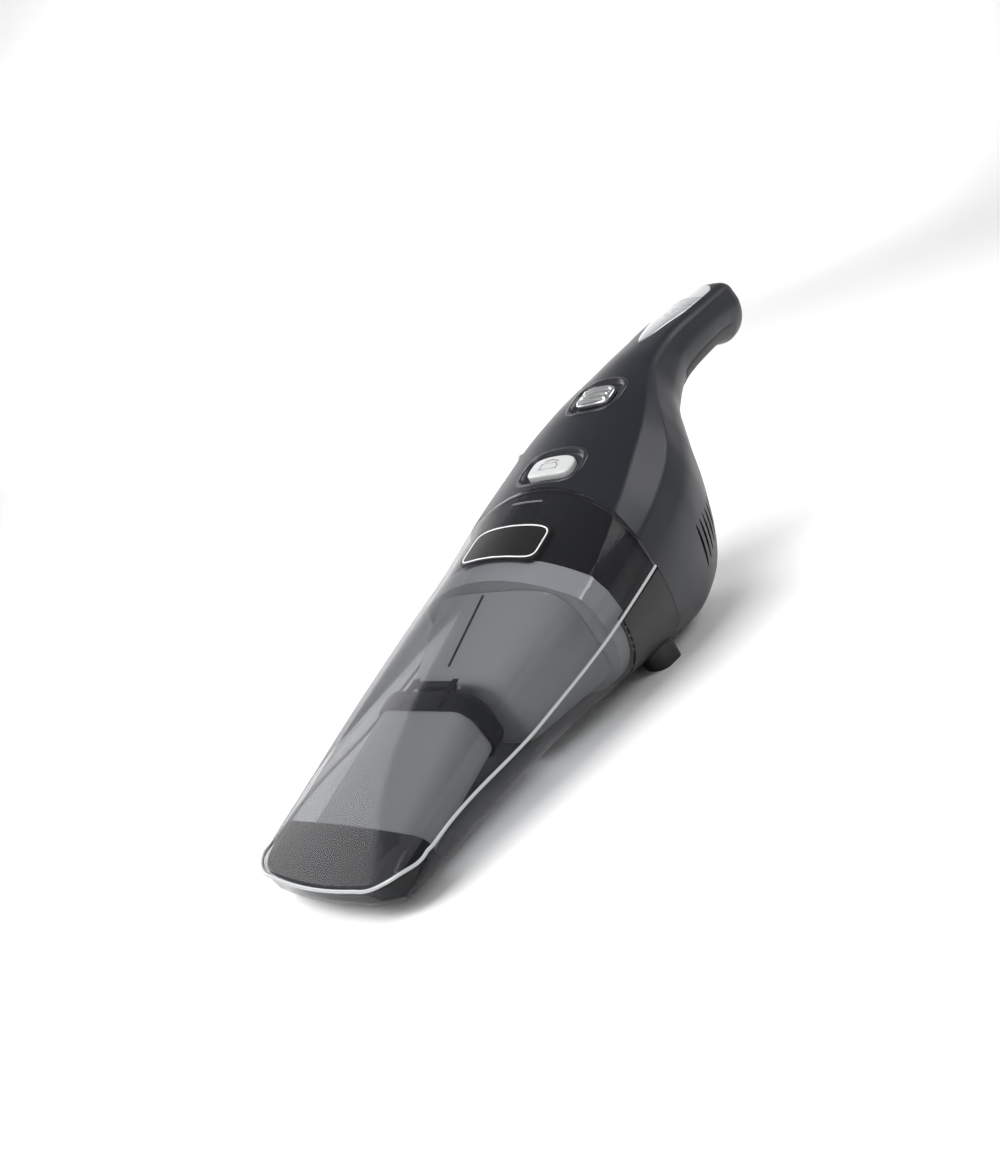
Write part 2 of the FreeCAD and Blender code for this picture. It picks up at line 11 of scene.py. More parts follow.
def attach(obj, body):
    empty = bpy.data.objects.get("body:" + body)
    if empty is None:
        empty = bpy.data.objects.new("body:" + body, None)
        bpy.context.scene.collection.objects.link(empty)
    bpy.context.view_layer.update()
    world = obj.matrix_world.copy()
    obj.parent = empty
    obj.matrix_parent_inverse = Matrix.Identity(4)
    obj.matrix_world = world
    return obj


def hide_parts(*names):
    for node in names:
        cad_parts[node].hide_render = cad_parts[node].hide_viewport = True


bl_info = {
    "name": "Handheld vacuum looks",
    "version": (1, 0, 0),
    "blender": (4, 5, 0),
    "location": "View3D > Sidebar > Vacuum",
    "description": "Materials, fine pieces, stage and camera of a cordless handheld vacuum",
    "category": "Object",
}

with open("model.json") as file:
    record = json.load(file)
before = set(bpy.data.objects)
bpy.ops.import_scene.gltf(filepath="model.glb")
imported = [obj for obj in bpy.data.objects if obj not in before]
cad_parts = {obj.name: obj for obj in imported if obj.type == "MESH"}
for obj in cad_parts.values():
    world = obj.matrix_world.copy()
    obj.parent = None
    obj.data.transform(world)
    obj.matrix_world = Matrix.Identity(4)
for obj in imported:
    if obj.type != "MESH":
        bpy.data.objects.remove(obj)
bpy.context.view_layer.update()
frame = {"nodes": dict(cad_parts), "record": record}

MM = 0.001

# Camera and light
CAMERA_PLACE = (0.3273, -0.3694, 0.1988)
CAMERA_AIM = (0.0, 0.0086, 0.0333)
CAMERA_ROLL = math.radians(-19.4)
CAMERA_LENS = 33.56
CAMERA_SHIFT = (-0.087, 0.010)
# Soft boxes: name, place and aim in m, side in m, spread in degrees
SOFTBOXES = (
    ("front_softbox", (-0.1, -1.1, 1.7), (0.0, 0.0, 0.05), 1.4, 180.0),
    ("shoulder_softbox", (0.85, 0.85, 1.0), (0.0, 0.0, 0.05), 0.7, 180.0),
    ("left_softbox", (-1.5, -0.1, 0.9), (0.0, 0.0, 0.05), 0.9, 180.0),
    ("backdrop_softbox", (-0.9, 1.0, 2.0), (-1.9, 2.2, 0.5), 1.6, 80.0),
)
FLOOR_FLAT = 1.6
FLOOR_CURVE = 2.4
FLOOR_STEPS = 16

# Outline of the shell in mm, by station along Y: half width, top, inner crease (x, z), outer crease (x, z),
# height of the widest point, bottom
STATIONS = (
    (0.0, 40.5, 41.0, 34.0, 40.4, 38.5, 39.8, 38.0, 24.0),
    (30.0, 43.0, 45.5, 37.0, 43.8, 41.5, 41.4, 38.0, 14.5),
    (90.0, 48.0, 55.0, 42.5, 46.5, 46.5, 38.5, 29.5, 3.0),
    (150.0, 52.5, 61.5, 46.5, 47.5, 51.0, 38.5, 26.0, -17.5),
    (200.0, 54.5, 65.0, 42.5, 55.0, 51.5, 43.0, 27.0, -36.0),
    (225.0, 53.0, 67.0, 38.5, 59.0, 49.0, 46.5, 30.0, -44.5),
    (242.0, 49.5, 68.2, 35.5, 61.8, 45.5, 51.0, 34.0, -45.0),
    (260.0, 42.0, 69.5, 30.5, 64.2, 37.0, 57.5, 39.5, -30.0),
    (275.0, 33.5, 70.0, 25.0, 66.0, 29.0, 62.0, 45.0, -5.0),
    (300.0, 21.5, 69.5, 16.0, 67.3, 18.8, 64.5, 51.0, 26.0),
    (330.0, 17.0, 67.0, 12.5, 65.6, 15.0, 63.0, 54.0, 34.5),
    (365.0, 17.5, 62.5, 12.5, 61.2, 15.5, 58.5, 50.0, 31.5),
    (380.0, 17.6, 60.4, 12.5, 59.0, 15.6, 56.3, 47.0, 28.0),
    (388.0, 17.6, 59.2, 12.5, 57.8, 15.6, 55.0, 45.0, 23.5),
    (410.0, 17.6, 56.0, 12.5, 54.6, 15.6, 51.8, 43.0, 23.0),
)
LIP = (38.0, 13.0)
MOUTH_TOP = 34.0
NOSE_FLAT = 24.0
NOSE_BOW = 2.0
NOSE_CORNER = (18.2, 21.0)
PAD = (240.0, -46.5)
MIDDLE_Y = 183.29
TILT = math.atan2(LIP[1] - PAD[1], PAD[0] - LIP[0])
SEAM_RADIUS = 105.0
SEAM_CENTRE_Y = 95.0
SEAM_GUESS_Y = 192.0
SPLIT_Y = 152.0
CROWN_STEPS = 12
CREASE_STEPS = 4
FLAT_STEPS = 3
LOWER_STEPS = 16
RIM = CROWN_STEPS + 2 * CREASE_STEPS + 2 * FLAT_STEPS - 1
LAST = RIM + LOWER_STEPS
LOWER_POWERS = (2.4, 2.2)
CREASE = 1.6
HAIRLINE = 0.15

# Mesh work: weld distances in m, angles in radians, steps of a round
GRID_WELD = 0.00002
JOIN_WELD = 0.00003
CAD_WELD = 0.00001
SHARP_SHELL = 0.6
SHARP_PART = 0.7
ROUND_STEPS = 24

# Where things sit on the housing, in mm
PLAQUE_Y = 165.0
PLAQUE_SIZE = (43.4, 19.4)
CATCH_Y = 190.5
BUTTON_Y = 215.0
BUTTON_SIZE = (26.0, 13.5)
BUTTON_WELL = (37.6, 24.6)
BUTTON_BEZEL = (38.0, 25.0)
SLIDER_Y = 267.0
SLIDER_SIZE = (21.0, 15.0)
SLIDER_WELL_Y = SLIDER_Y + 0.5
SLIDER_WELL = (31.6, 28.6)
SLIDER_BEZEL = (32.0, 29.0)
RIB_PITCH = 4.0
JACK_Z = 38.0
JACK_RADIUS = 3.4
SCREWS = ((286.0, 40.0), (352.0, 51.0), (240.0, 57.5), (216.0, -30.5))
SCREW_DEPTH = 7.0
SCREW_HOLE = 3.0
VENTS = 6
VENT_START_Y = 224.0
VENT_PITCH = 5.2
VENT_REACH = (34.0, 62.0)
HANDLE_END = 391.5
TAIL_DEPTH = 13.3
TAIL_POWER = 0.62
STRIP_KNOTS = (
    (318.0, 0.0), (334.0, 6.0), (352.0, 10.0), (372.0, 11.2), (383.0, 11.2), (388.6, 8.6), (391.4, 0.0),
)
GRIP_START_Y = 322.0
GRIP_LENGTH = 61.0
GRIP_BORDER = 0.6

# The filter's cone in mm: where it starts, its length, and its half width, top and bottom there with their growth
FILTER_Y = 99.0
FILTER_LENGTH = 45.0
FILTER_HALF = (27.0, 14.0)
FILTER_TOP = (44.0, 8.5)
FILTER_BOTTOM = (4.0, -9.0)
FILTER_NOSE = 0.86

# Rings of the raised pieces: share of the outline and height over the shell in mm
BEZEL_RINGS = ((1.01, -2.0), (1.01, 0.1), (0.985, 0.42), (0.95, 0.5), (0.91, 0.42), (0.885, 0.1), (0.87, -1.9))
CAP_RINGS = (
    (1.0, -3.0), (1.0, -0.3), (0.985, 0.15), (0.95, 0.45), (0.88, 0.62), (0.6, 0.8), (0.3, 0.86), (0.0, 0.88),
)
PAD_RINGS = ((1.0, -1.4), (1.0, 0.1), (0.98, 0.45))
STRIP_RINGS = ((1.0, -1.0), (1.0, 0.05), (0.97, 0.3), (0.92, 0.42), (0.6, 0.5), (0.3, 0.5), (0.0, 0.5))
MARK_TRAY = ((-5.0, -2.6), (-5.0, 1.4), (3.4, 1.4), (5.0, -0.4), (5.0, -2.6))
MARK_LID = ((-4.0, 2.9), (0.0, 3.6), (4.6, 2.4))


# ---------------------------------------------------------------- shape of the shell
def place(x, y, z):
    """Housing millimetres to the part's own frame in metres, with the rest flats cut at the floor."""
    c, s = math.cos(TILT), math.sin(TILT)
    floor = LIP[0] * s + LIP[1] * c
    return Vector((x * MM, (y * c - z * s - MIDDLE_Y) * MM, max(y * s + z * c - floor, 0.0) * MM))


def smooth(column, y):
    """Monotone cubic through one column of STATIONS at y."""
    ys = [row[0] for row in STATIONS]
    vs = [row[column] for row in STATIONS]
    y = min(max(y, ys[0] - 5), ys[-1])
    last = len(ys) - 1
    i = max(k for k in range(last) if ys[k] <= max(y, ys[0]))
    gap = [ys[k + 1] - ys[k] for k in range(last)]
    slope = [(vs[k + 1] - vs[k]) / gap[k] for k in range(last)]

    def tangent(k):
        if k in (0, last):
            return slope[min(k, last - 1)]
        if slope[k - 1] * slope[k] <= 0:
            return 0.0
        a = 2 * gap[k] + gap[k - 1]
        b = gap[k] + 2 * gap[k - 1]
        return (a + b) / (a / slope[k - 1] + b / slope[k])

    s = (y - ys[i]) / gap[i]
    near = (2 * s**3 - 3 * s**2 + 1) * vs[i] + (s**3 - 2 * s**2 + s) * gap[i] * tangent(i)
    far = (3 * s**2 - 2 * s**3) * vs[i + 1] + (s**3 - s**2) * gap[i] * tangent(i + 1)
    return near + far


def blend(a, c, f):
    """Point a fraction f of the way from a to c."""
    return (a[0] + (c[0] - a[0]) * f, a[1] + (c[1] - a[1]) * f)


def half_section(y, inset=0.0):
    """Right half of the shell's section at y, top to bottom, with rounded creases, in mm."""
    w, t, xi, zi, xo, zo, r, b = (smooth(c, y) for c in range(1, 9))
    w, t, b = w - inset, t - inset, b + inset
    inner = (xi - 0.45 * inset, zi - 0.9 * inset)
    outer = (xo - 0.85 * inset, zo - 0.5 * inset)
    side = (w, r)
    rise = max(t - inner[1], 0.05)
    radius = (inner[0] ** 2 + rise * rise) / (2 * rise)
    points = []
    for k in range(CROWN_STEPS):
        x = (inner[0] - CREASE) * k / (CROWN_STEPS - 1)
        points.append((x, t - radius + math.sqrt(radius * radius - x * x)))

    def toward(a, c):
        return blend(a, c, min(CREASE / math.hypot(c[0] - a[0], c[1] - a[1]), 0.45))

    def flat(end):
        start = points[-1]
        points.extend(blend(start, end, k / FLAT_STEPS) for k in range(1, FLAT_STEPS + 1))

    def crease(corner, end):
        start = points[-1]
        for k in range(1, CREASE_STEPS + 1):
            f = k / CREASE_STEPS
            points.append(blend(blend(start, corner, f), blend(corner, end, f), f))

    crease(inner, toward(inner, outer))
    flat(toward(outer, inner))
    crease(outer, toward(outer, side))
    flat(side)
    for k in range(1, LOWER_STEPS + 1):
        angle = math.pi / 2 * k / LOWER_STEPS
        x = w * math.cos(angle) ** (2 / LOWER_POWERS[0]) if k < LOWER_STEPS else 0.0
        points.append((x, r - (r - b) * math.sin(angle) ** (2 / LOWER_POWERS[1])))
    return points


def sweep_rows(start, end, rows):
    """Evenly spaced fractions of the way from start to end."""
    return [start + (end - start) * k / rows for k in range(rows + 1)]


def point_at(y, index, inset=0.0):
    """One point of the shell, by station and signed profile index (negative is the left side)."""
    x, z = half_section(y, inset)[abs(index)]
    return (math.copysign(x, index) if index else 0.0, y, z)


def nozzle_plan(x):
    """How far back the nozzle's rounded plan starts at a distance x from the middle."""
    if x <= NOSE_FLAT:
        return NOSE_BOW * (x / NOSE_FLAT) ** 2
    reach = min((x - NOSE_FLAT) / NOSE_CORNER[0], 1.0)
    return NOSE_BOW + NOSE_CORNER[1] * (1.0 - math.sqrt(1.0 - reach * reach))


def settle(rule, start):
    """Fixed point of a rule that changes slowly."""
    y = start
    for _ in range(12):
        y = 0.5 * (y + rule(y))
    return y


def seam_y(index, gap):
    """Station where the arched seam between bowl and body crosses one profile index."""
    reach = SEAM_RADIUS + gap
    return settle(lambda y: SEAM_CENTRE_Y + math.sqrt(reach**2 - point_at(y, index)[0] ** 2), SEAM_GUESS_Y)


def mouth_level(y):
    """Height of the slanted mouth at y."""
    return MOUTH_TOP - (MOUTH_TOP - LIP[1]) / LIP[0] * y


def nose_y(index):
    """Station where the bowl starts at one profile index: its rounded plan or its slanted mouth."""
    plan = settle(lambda y: nozzle_plan(abs(point_at(y, index)[0])), 5.0)
    mouth = settle(lambda y: (MOUTH_TOP - point_at(y, index)[2]) / (MOUTH_TOP - LIP[1]) * LIP[0], 10.0)
    return max(plan, mouth)


def grid_object(name, rows):
    """Mesh object from rows of points in housing millimetres, all rows the same length."""
    mesh = bpy.data.meshes.new(name)
    grid = bmesh.new()
    tall, wide = len(rows), len(rows[0])
    bmesh.ops.create_grid(grid, x_segments=wide - 1, y_segments=tall - 1, size=1.0)
    for vert in grid.verts:
        i = round((vert.co.x + 1) / 2 * (wide - 1))
        j = round((vert.co.y + 1) / 2 * (tall - 1))
        vert.co = place(*rows[j][i])
    bmesh.ops.remove_doubles(grid, verts=grid.verts, dist=GRID_WELD)
    bmesh.ops.recalc_face_normals(grid, faces=grid.faces)
    for face in grid.faces:
        face.smooth = True
    grid.to_mesh(mesh)
    grid.free()
    obj = bpy.data.objects.new(name, mesh)
    bpy.context.scene.collection.objects.link(obj)
    return obj


def join(name, objects):
    """One mesh object from several, with shared borders welded."""
    mesh = bpy.data.meshes.new(name)
    whole = bmesh.new()
    for obj in objects:
        whole.from_mesh(obj.data)
        old = obj.data
        bpy.data.objects.remove(obj)
        bpy.data.meshes.remove(old)
    bmesh.ops.remove_doubles(whole, verts=whole.verts, dist=JOIN_WELD)
    bmesh.ops.recalc_face_normals(whole, faces=whole.faces)
    whole.to_mesh(mesh)
    whole.free()
    obj = bpy.data.objects.new(name, mesh)
    bpy.context.scene.collection.objects.link(obj)
    return obj


def modifier(obj, kind, **values):
    """Add a modifier and set its values."""
    added = obj.modifiers.new(kind.lower(), kind)
    for key, value in values.items():
        setattr(added, key, value)
    return added


def dress(obj, slot, body, *nodes):
    """Finish, body and replaced CAD nodes of one piece."""
    obj.data.materials.append(material(slot))
    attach(obj, body)
    if nodes:
        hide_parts(*nodes)
    return obj


def bowl_rows(indices, start, end, rows):
    """Rows of a bowl surface between two boundary rules."""
    table = []
    for j in range(rows + 1):
        row = []
        for k in indices:
            y0, y1 = start[abs(k)], end[abs(k)]
            row.append(point_at(y0 + (y1 - y0) * j / rows, k))
        table.append(row)
    return table


def wall_foot(y, nose):
    """Where the nozzle's upright front wall ends below: on the mouth, or on the flank near the corners."""
    knots = [(nose[k], point_at(nose[k], k)[2]) for k in range(RIM + 5, RIM - 1, -1)]
    for (y0, z0), (y1, z1) in zip(knots, knots[1:]):
        if y0 <= y <= y1:
            return z0 + (z1 - z0) * (y - y0) / (y1 - y0)
    return mouth_level(y)


def bowl_shell(wall):
    """Smoked bowl: its outer skin from the nozzle to the seam, thickened inwards."""
    whole = range(-LAST, LAST + 1)
    upper = range(-RIM, RIM + 1)
    nose = [nose_y(k) for k in range(LAST + 1)]
    split = [SPLIT_Y] * (LAST + 1)
    seam = [seam_y(k, -HAIRLINE) for k in range(RIM + 1)]
    skins = [grid_object("front", bowl_rows(whole, nose, split, 60))]
    skins.append(grid_object("rear", bowl_rows(upper, split[: RIM + 1], seam, 20)))
    lip = []
    for f in (0.0, 0.25, 0.5, 0.75, 1.0):
        row = []
        for k in upper:
            x, y, z = point_at(nose[abs(k)], k)
            row.append((x, y, z + (min(wall_foot(y, nose), z) - z) * f))
        lip.append(row)
    skins.append(grid_object("lip", lip))
    bowl = join("bowl_shell", skins)
    modifier(bowl, "SOLIDIFY", thickness=wall, offset=-1.0)
    return bowl


def rim_path():
    """Line along the bowl's rim, from the seam round the nozzle and back."""
    path = [point_at(y, RIM) for y in sweep_rows(seam_y(RIM, -HAIRLINE) - 0.5, 26.0, 40)]
    plan = []
    for k in range(18, -1, -1):
        angle = math.pi / 2 * k / 18
        x = NOSE_FLAT + NOSE_CORNER[0] * math.sin(angle)
        plan.append((x, NOSE_BOW + NOSE_CORNER[1] * (1 - math.cos(angle))))
    plan += [(x, nozzle_plan(x)) for x in (20.0, 15.0, 10.0, 5.0, 0.0)]
    path += [(x, y, top_height(x, y)) for x, y in plan]
    return path + [(-x, y, z) for x, y, z in reversed(path[:-1])]


def make_bowl(settings):
    """Clear bowl with its rim bead, a light grey line that is a painted highlight along the rim's edge, the
    outline round the plaque and the mark over the catch.
    """
    dress(bowl_shell(settings.wall), "clear_smoke", "bowl", "dust_bowl")
    # The rim bead's light grey colour is a painted highlight: it stands in for the light caught by the clear
    # rim's edge.
    dress(line_curve("rim_bead", rim_path(), settings.rim_bead), "rim_clear", "bowl")
    plan = rounded_plan(PLAQUE_Y, PLAQUE_SIZE, 6.0)
    outline = [(x, y, top_height(x, y) + 0.42) for x, y in plan[:-1]]
    dress(line_curve("plaque_outline", outline, settings.outline, True), "line_white", "bowl")
    slot = [(x, CATCH_Y, top_height(x, CATCH_Y) + 0.1) for x in (-9.0, -4.5, 0.0, 4.5, 9.0)]
    dress(line_curve("catch_mark", slot, settings.catch_mark), "catch_grey", "bowl")


def line_curve(name, points, thickness, closed=False):
    """Thin round line through points in housing millimetres."""
    curve = bpy.data.curves.new(name, "CURVE")
    curve.dimensions = "3D"
    curve.bevel_depth = thickness / 2
    curve.bevel_resolution = 3
    curve.use_fill_caps = True
    spline = curve.splines.new("POLY")
    spline.points.add(len(points) - 1)
    for target, p in zip(spline.points, points):
        target.co = (*place(*p), 1.0)
    spline.use_cyclic_u = closed
    obj = bpy.data.objects.new(name, curve)
    bpy.context.scene.collection.objects.link(obj)
    return obj


def softened(name, node, slot, body, width):
    """Copy of a CAD node with its edges rounded, in place of it."""
    mesh = bpy.data.meshes.new(name)
    work = bmesh.new()
    work.from_mesh(frame["nodes"][node].data)
    bmesh.ops.remove_doubles(work, verts=work.verts, dist=CAD_WELD)
    bmesh.ops.dissolve_limit(work, angle_limit=0.01, verts=work.verts, edges=work.edges)
    for face in work.faces:
        face.smooth = True
    work.to_mesh(mesh)
    work.free()
    mesh.set_sharp_from_angle(angle=SHARP_PART)
    obj = bpy.data.objects.new(name, mesh)
    bpy.context.scene.collection.objects.link(obj)
    rounding = {"width": width, "segments": 2, "limit_method": "ANGLE", "angle_limit": SHARP_PART}
    modifier(obj, "BEVEL", harden_normals=True, **rounding)
    return dress(obj, slot, body, node)


def filter_ring(y, shrink=1.0):
    """Rounded-rectangle section of the filter's sleeve."""
    s = (y - FILTER_Y) / FILTER_LENGTH
    half, top, bottom = (start + growth * s for start, growth in (FILTER_HALF, FILTER_TOP, FILTER_BOTTOM))
    middle, tall = (top + bottom) / 2, (top - bottom) / 2
    ring = []
    for k in range(97):
        angle = 2 * math.pi * k / 96
        c, d = math.cos(angle), math.sin(angle)
        x = half * shrink * math.copysign(abs(c) ** 0.5, c)
        ring.append((x, y, middle + tall * shrink * math.copysign(abs(d) ** 0.5, d)))
    return ring


def make_inside(settings):
    """Filter sleeve with its seam, and the duct's parts with rounded edges."""
    rows = [filter_ring(FILTER_Y, f) for f in (0.0, 0.4, 0.75, FILTER_NOSE)]
    for a in (0.3, 0.6, 0.9, 1.2, 1.5):
        shrink = FILTER_NOSE + (1 - FILTER_NOSE) * math.sin(a)
        rows.append(filter_ring(FILTER_Y + 5.0 * (1 - math.cos(a)), shrink))
    rows += [filter_ring(y) for y in (108.0, 115.0, 122.0, 129.0, 136.0, 143.6)]
    dress(grid_object("filter_sleeve", rows), "filter_grey", "bowl", "filter_cloth")
    start, growth = FILTER_TOP
    ridge = []
    for y in (106.0, 118.0, 130.0, 142.0):
        ridge.append((-3.0, y, start + growth * (y - FILTER_Y) / FILTER_LENGTH + 0.1))
    dress(line_curve("filter_ridge", ridge, settings.ridge), "black_plastic", "bowl")
    softened("duct_body", "intake_duct", "duct_grey", "bowl", settings.edge)
    softened("duct_cuff", "duct_collar", "black_plastic", "bowl", settings.edge)
    softened("duct_door", "duct_flap", "soft_rubber", "flap", settings.edge)


# ---------------------------------------------------------------- pieces of the handset
def top_height(x, y):
    """Height of the shell's upper surface over one plan point."""
    points = half_section(y)[: RIM + 1]
    x = abs(x)
    for (x0, z0), (x1, z1) in zip(points, points[1:]):
        if x0 <= x <= x1:
            return z0 + (z1 - z0) * (x - x0) / max(x1 - x0, 1e-6)
    return points[-1][1]


def rounded_plan(middle_y, size, corner, steps=96):
    """Closed superellipse outline in plan about the middle plane, as a list of (x, y)."""
    points = []
    power = 2.0 / corner
    for k in range(steps + 1):
        angle = 2 * math.pi * k / steps
        c, s = math.cos(angle), math.sin(angle)
        x = size[0] / 2 * math.copysign(abs(c) ** power, c)
        y = middle_y + size[1] / 2 * math.copysign(abs(s) ** power, s)
        points.append((x, y))
    return points


def middle_of(outline):
    """Mean of a closed outline's points."""
    count = len(outline) - 1
    return sum(p[0] for p in outline[:-1]) / count, sum(p[1] for p in outline[:-1]) / count


def plate(name, outline, profile, extra=None):
    """Piece that follows the shell's top: rings of the outline, each at its own height over the shell."""
    cx, cy = middle_of(outline)
    rows = []
    for f, height in profile:
        row = []
        for px, py in outline:
            x, y = cx + (px - cx) * f, cy + (py - cy) * f
            more = extra(x, y) if extra and height > 0 else 0.0
            row.append((x, y, top_height(x, y) + height + more))
        rows.append(row)
    return grid_object(name, rows)


def tail_point(index, angle):
    """Rounded end of the handle: the last section shrinking over a quarter turn."""
    y = HANDLE_END + TAIL_DEPTH * math.sin(angle)
    x, _, z = point_at(y, index)
    shrink = max(math.cos(angle), 0.0) ** TAIL_POWER
    middle = 0.5 * (point_at(y, 0)[2] + point_at(y, LAST)[2])
    return (x * shrink, y, middle + (z - middle) * shrink)


def cutter(name, outline, low, high):
    """Upright cutter with the given plan."""
    rows = [[(x, y, z) for x, y in outline] for z in (low, high)]
    cx, cy = middle_of(outline)
    rows.insert(0, [(cx, cy, low)] * len(outline))
    rows.append([(cx, cy, high)] * len(outline))
    return grid_object(name, rows)


def vent_cutter(number, side):
    """One upright slot through the flank, as a cutter."""
    y = VENT_START_Y + VENT_PITCH * number
    half = 13.0 - 0.9 * number
    middle = 4.0 + 0.3 * number
    rows = []
    for x in VENT_REACH:
        ring = []
        for k in range(ROUND_STEPS + 1):
            angle = 2 * math.pi * k / ROUND_STEPS
            ring.append((side * x, y + 1.2 * math.cos(angle), middle + half * math.sin(angle)))
        rows.append(ring)
    rows.insert(0, [(side * VENT_REACH[0], y, middle)] * (ROUND_STEPS + 1))
    rows.append([(side * VENT_REACH[1], y, middle)] * (ROUND_STEPS + 1))
    return grid_object("vent_cutter", rows)


def settle_modifiers(obj):
    """Mesh with its modifiers worked in."""
    view = bpy.context.evaluated_depsgraph_get()
    mesh = bpy.data.meshes.new_from_object(obj.evaluated_get(view))
    obj.modifiers.clear()
    old = obj.data
    obj.data = mesh
    bpy.data.meshes.remove(old)


def cut_away(obj, cutters):
    """Boolean differences, worked in one by one, after which the cutters are gone."""
    for tool in cutters:
        modifier(obj, "BOOLEAN", operation="DIFFERENCE", object=tool, solver="EXACT")
        bpy.context.view_layer.update()
        settle_modifiers(obj)
        mesh = tool.data
        bpy.data.objects.remove(tool)
        bpy.data.meshes.remove(mesh)


def tube(name, centres, radius):
    """Round tube between two centres, capped at both, as a cutter."""
    start, end = (Vector(p) for p in centres)
    along = (end - start).normalized()
    across = along.orthogonal().normalized()
    rows = [[tuple(start)] * (ROUND_STEPS + 1)]
    for centre in (start, end):
        ring = []
        for k in range(ROUND_STEPS + 1):
            turn = Matrix.Rotation(2 * math.pi * k / ROUND_STEPS, 3, along)
            ring.append(tuple(centre + turn @ across * radius))
        rows.append(ring)
    rows.append([tuple(end)] * (ROUND_STEPS + 1))
    return grid_object(name, rows)


def half_width(y, z):
    """Distance from the middle plane to the shell's side at one height."""
    points = half_section(y)
    for (x0, z0), (x1, z1) in zip(points, points[1:]):
        if z1 <= z <= z0 and z0 - z1 > 1e-6:
            return x0 + (x1 - x0) * (z0 - z) / (z0 - z1)
    return points[RIM][0]


def housing_shell(side, wall):
    """One shell of the body and handle, with its openings."""
    indices = [side * k for k in range(LAST + 1)]
    start = [seam_y(k, HAIRLINE) for k in range(LAST + 1)]
    rows = []
    for j in range(121):
        stations = [start[abs(k)] + (HANDLE_END - start[abs(k)]) * j / 120 for k in indices]
        rows.append([point_at(y, k) for y, k in zip(stations, indices)])
    for j in range(1, 13):
        rows.append([tail_point(k, math.pi / 2 * j / 12) for k in indices])
    shell = grid_object("housing_right_shell" if side > 0 else "housing_left_shell", rows)
    modifier(shell, "SOLIDIFY", thickness=wall, offset=-1.0)
    bpy.context.view_layer.update()
    settle_modifiers(shell)
    tools = [cutter("cut", rounded_plan(BUTTON_Y, BUTTON_WELL, 3.2), 40.0, 80.0)]
    tools.append(cutter("cut", rounded_plan(SLIDER_WELL_Y, SLIDER_WELL, 3.0), 50.0, 90.0))
    tools.append(tube("cut", ((0.0, 385.0, JACK_Z), (0.0, 415.0, JACK_Z)), JACK_RADIUS))
    tools += [vent_cutter(k, side) for k in range(VENTS)]
    if side < 0:
        for y, z in SCREWS:
            tools.append(tube("cut", ((-70.0, y, z), (SCREW_DEPTH - half_width(y, z), y, z)), SCREW_HOLE))
    cut_away(shell, tools)
    shell.data.set_sharp_from_angle(angle=SHARP_SHELL)
    modifier(shell, "WEIGHTED_NORMAL", keep_sharp=True, weight=70)
    return shell


def screw_wells():
    """Short sleeves round the sunk screw heads."""
    wells = []
    for y, z in SCREWS:
        reach = half_width(y, z)
        radius = SCREW_HOLE + 0.05
        angles = [2 * math.pi * k / ROUND_STEPS for k in range(ROUND_STEPS + 1)]
        rows = []
        for x in (1.6 - reach, SCREW_DEPTH + 0.4 - reach):
            rows.append([(x, y + radius * math.cos(a), z + radius * math.sin(a)) for a in angles])
        wells.append(grid_object("well", rows))
    return join("screw_wells", wells)


def make_housing(settings):
    """Both shells of the body and handle, and the sleeves of the screws."""
    dress(housing_shell(-1, settings.wall), "shell_navy", "handset", "housing_left")
    dress(housing_shell(1, settings.wall), "shell_navy", "handset", "housing_right")
    dress(screw_wells(), "shell_navy", "handset")


def rib_height(x, y):
    """Rise of the slider's three ribs at one plan point."""
    rise = sum(math.exp(-(((y - SLIDER_Y - RIB_PITCH * k) / 0.95) ** 4)) for k in (-1, 0, 1))
    return rise * min(max((9.3 - abs(x)) / 1.2, 0.0), 1.0)


def make_controls(settings):
    """Bezels, release button with its mark, and ribbed power slider."""
    bezel = plate(
        "release_bezel_ring",
        rounded_plan(BUTTON_Y, BUTTON_BEZEL, 3.2),
        BEZEL_RINGS + ((0.78, -2.2), (0.0, -2.2)),
    )
    dress(bezel, "bezel_grey", "handset", "release_bezel")
    button = plate("release_cap", rounded_plan(BUTTON_Y, BUTTON_SIZE, 3.4), CAP_RINGS)
    dress(button, "button_white", "button", "release_button")
    for name, shape, closed in (("release_mark", MARK_TRAY, True), ("release_mark_lid", MARK_LID, False)):
        path = [(x, BUTTON_Y + y, top_height(x, BUTTON_Y + y) + 0.78) for x, y in shape]
        dress(line_curve(name, path, settings.mark, closed), "mark_grey", "button")
    bezel = plate(
        "slider_bezel_ring",
        rounded_plan(SLIDER_WELL_Y, SLIDER_BEZEL, 3.0),
        BEZEL_RINGS + ((0.8, -2.0), (0.0, -2.0)),
    )
    dress(bezel, "bezel_grey", "handset", "slider_bezel")
    rings = PAD_RINGS + tuple((0.95 - 0.95 * k / 30, 0.65) for k in range(31))
    pad = plate("slider_pad", rounded_plan(SLIDER_Y, SLIDER_SIZE, 3.4, 144), rings, rib_height)
    dress(pad, "slider_silver", "slider", "power_slider")


def strip_width(y):
    """Half width of the bright strip on the handle at y."""
    for (y0, w0), (y1, w1) in zip(STRIP_KNOTS, STRIP_KNOTS[1:]):
        if y0 <= y <= y1:
            f = (y - y0) / (y1 - y0)
            if w1 == 0.0:
                return w0 * math.sqrt(max(1 - f * f, 0.0))
            if w0 == 0.0:
                f = f * (1.6 - 0.6 * f)
            return w0 + (w1 - w0) * f
    return 0.0


def strip(name, start, end, rows):
    """Piece of the bright strip, a little proud of the shell, with rounded borders."""
    shape = [(-f, h) for f, h in STRIP_RINGS] + [(f, h) for f, h in reversed(STRIP_RINGS[:-1])]
    table = []
    for j in range(rows + 1):
        y = start + (end - start) * j / rows
        w = strip_width(y)
        drop = 0.35 if j in (0, rows) else 0.0
        table.append([(f * w, y, top_height(f * w, y) + h - drop) for f, h in shape])
    return grid_object(name, table)


